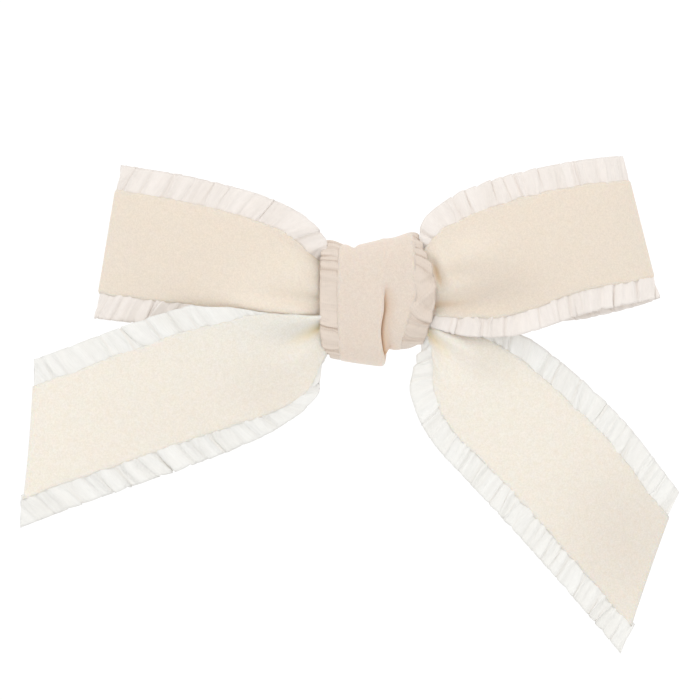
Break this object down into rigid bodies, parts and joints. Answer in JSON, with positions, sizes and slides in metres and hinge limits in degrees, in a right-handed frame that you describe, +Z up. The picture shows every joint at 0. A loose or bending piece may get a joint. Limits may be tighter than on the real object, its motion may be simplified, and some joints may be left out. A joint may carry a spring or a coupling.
{
  "type": "hair bow clip",
  "caption": "Ribbon bow with two loops, slanted tails, gathered sheer edge frills and a wrapped knot, on a sprung alligator hair clip.",
  "frame": {"origin": "between the clip's closed jaws, straight behind the middle of the knot, where the hair is gripped", "axes": "+X to the right as seen from the front, +Y towards the head (the bow faces -Y), +Z up"},
  "size_m": [0.1116, 0.027, 0.0846],
  "materials": {
    "velvet": "matte cream velvet pile",
    "frill": "sheer off-white gathered weave",
    "thread": "twisted polyester thread",
    "felt": "pressed felt",
    "glue": "cloudy hot-melt glue",
    "lining": "ribbed grosgrain",
    "steel": "nickel-plated pressed steel",
    "spring_steel": "drawn spring wire"
  },
  "bodies": {
    "bow": {"left_loop_velvet": "velvet", "left_loop_upper_frill": "frill", "left_loop_lower_frill": "frill", "right_loop_velvet": "velvet", "right_loop_upper_frill": "frill", "right_loop_lower_frill": "frill", "left_tail_velvet": "velvet", "left_tail_upper_frill": "frill", "left_tail_lower_frill": "frill", "right_tail_velvet": "velvet", "right_tail_upper_frill": "frill", "right_tail_lower_frill": "frill", "knot_wrap_velvet": "velvet", "knot_wrap_left_frill": "frill", "knot_wrap_right_frill": "frill", "gathering_thread": "thread", "felt_backing_pad": "felt", "glue_pad": "glue", "clip_lining_ribbon": "lining", "clip_front_arm": "steel", "clip_hinge_pin": "steel", "clip_spring": "spring_steel"},
    "rear_arm": {"clip_rear_arm": "steel"}
  },
  "joints": [
    {"name": "jaw_hinge", "type": "hinge", "parent": "bow", "child": "rear_arm", "pos_m": [0.011, 0.0032, 0], "axis": [0, 0, -1], "range_deg": [0, 28], "stiffness_Nm_per_rad": 0.04, "springref_deg": -68.75, "deforming": ["clip_spring"]}
  ]
}
